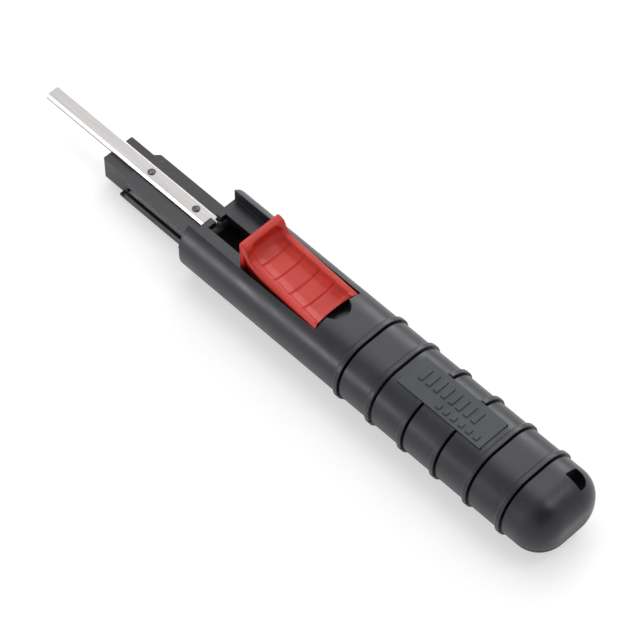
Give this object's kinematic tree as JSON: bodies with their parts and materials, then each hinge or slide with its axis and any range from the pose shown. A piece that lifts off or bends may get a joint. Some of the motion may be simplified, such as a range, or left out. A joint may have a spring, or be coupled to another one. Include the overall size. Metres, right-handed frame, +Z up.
{
  "type": "plug release tool",
  "caption": "Hand tool for releasing modular plugs: ribbed two-shell handle, thumb slide that drives a square-ended steel strip and channelled nose forward against a return spring.",
  "frame": {"origin": "on the surface the tool lies on, below the middle of its overall box: half way from strip tip to butt, on the centre line", "axes": "+X towards the steel strip's tip, +Z up out of the thumb slide, +Y to the left when looking from the butt to the tip"},
  "size_m": [0.23, 0.0314, 0.0315],
  "materials": {
    "handle_plastic": "satin near-black moulded plastic",
    "nose_plastic": "satin near-black moulded plastic",
    "sled_plastic": "moulded black acetal",
    "thumb_plastic": "satin red moulded plastic",
    "strip_steel": "ground stainless strip",
    "rivet_steel": "pressed rivet",
    "screw_steel": "zinc-plated screw",
    "spring_steel": "drawn spring wire",
    "glide_plastic": "natural white low-friction strip"
  },
  "bodies": {
    "handle": {"upper_shell": "handle_plastic", "lower_shell": "handle_plastic", "spring_pin_rear": "screw_steel", "shell_screw_1": "screw_steel", "shell_screw_2": "screw_steel", "shell_screw_3": "screw_steel", "shell_screw_4": "screw_steel", "shell_screw_5": "screw_steel", "shell_screw_6": "screw_steel", "return_spring": "spring_steel"},
    "slide": {"thumb_slider": "thumb_plastic", "sled": "sled_plastic", "blade": "strip_steel", "upper_nose_guide": "nose_plastic", "lower_nose_guide": "nose_plastic", "spine_strip": "strip_steel", "blade_rivet_front": "rivet_steel", "blade_rivet_rear": "rivet_steel", "spring_pin_front": "screw_steel", "sled_glide_left": "glide_plastic", "sled_glide_right": "glide_plastic", "slider_screw_front": "screw_steel", "slider_screw_rear": "screw_steel"}
  },
  "joints": [
    {"name": "nose_slide", "type": "slide", "parent": "handle", "child": "slide", "axis": [1, 0, 0], "range_m": [0, 0.0185], "stiffness_N_per_m": 150, "springref_m": -0.01, "deforming": ["return_spring"]}
  ]
}
